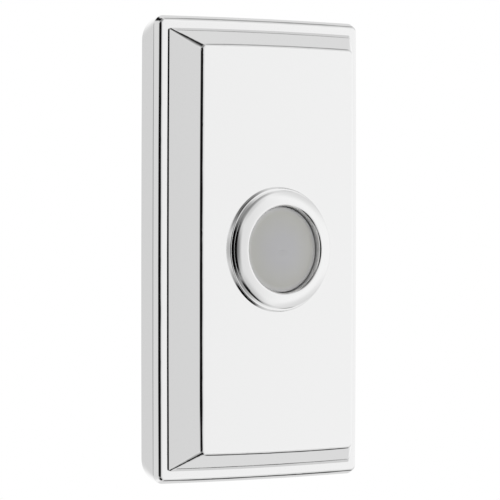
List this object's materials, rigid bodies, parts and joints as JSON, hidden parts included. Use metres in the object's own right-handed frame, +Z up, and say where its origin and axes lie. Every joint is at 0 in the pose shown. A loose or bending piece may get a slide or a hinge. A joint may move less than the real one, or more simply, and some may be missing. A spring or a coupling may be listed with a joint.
{
  "type": "doorbell push button",
  "caption": "Wall-mounted doorbell push: a tall bevelled chrome cover plate with a round bezel and a sprung, lit button that closes a pair of contacts.",
  "frame": {"origin": "centre of the back, on the wall's surface and on the button's axis", "axes": "+X to the right seen from the front, +Y into the wall, +Z up"},
  "size_m": [0.0516, 0.0142, 0.0952],
  "materials": {
    "polished_chrome": "polished",
    "zinc_plated_steel": "zinc plated",
    "nickel_plated_brass": "machined",
    "contact_brass": "rolled",
    "stainless_spring_wire": "drawn",
    "blackened_steel": "blackened",
    "translucent_white_plastic": "moulded",
    "white_acetal": "moulded",
    "black_phenolic": "moulded",
    "clear_epoxy": "moulded",
    "tinned_copper_wire": "tinned",
    "resistor_lacquer": "lacquered"
  },
  "bodies": {
    "body": {"cover_plate": "polished_chrome", "mounting_plate": "zinc_plated_steel", "set_screw": "blackened_steel", "bezel_ring": "polished_chrome", "lock_washer": "zinc_plated_steel", "ring_nut": "nickel_plated_brass", "return_spring": "stainless_spring_wire", "terminal_base": "black_phenolic", "fixed_contact_left": "contact_brass", "fixed_contact_right": "contact_brass", "terminal_screw_left": "nickel_plated_brass", "terminal_screw_right": "nickel_plated_brass", "terminal_clamp_left": "contact_brass", "terminal_clamp_right": "contact_brass", "base_screw_upper": "zinc_plated_steel", "base_screw_lower": "zinc_plated_steel", "led_lamp": "clear_epoxy", "lamp_lead_left": "tinned_copper_wire", "lamp_lead_right": "tinned_copper_wire", "ballast_resistor": "resistor_lacquer", "resistor_lead": "tinned_copper_wire"},
    "button": {"button_lens": "translucent_white_plastic", "plunger": "white_acetal", "contact_bridge": "contact_brass"}
  },
  "joints": [
    {"name": "button_press", "type": "slide", "parent": "body", "child": "button", "axis": [0, 1, 0], "range_m": [0, 0.001], "stiffness_N_per_m": 800, "springref_m": -0.003, "deforming": ["return_spring"]}
  ]
}
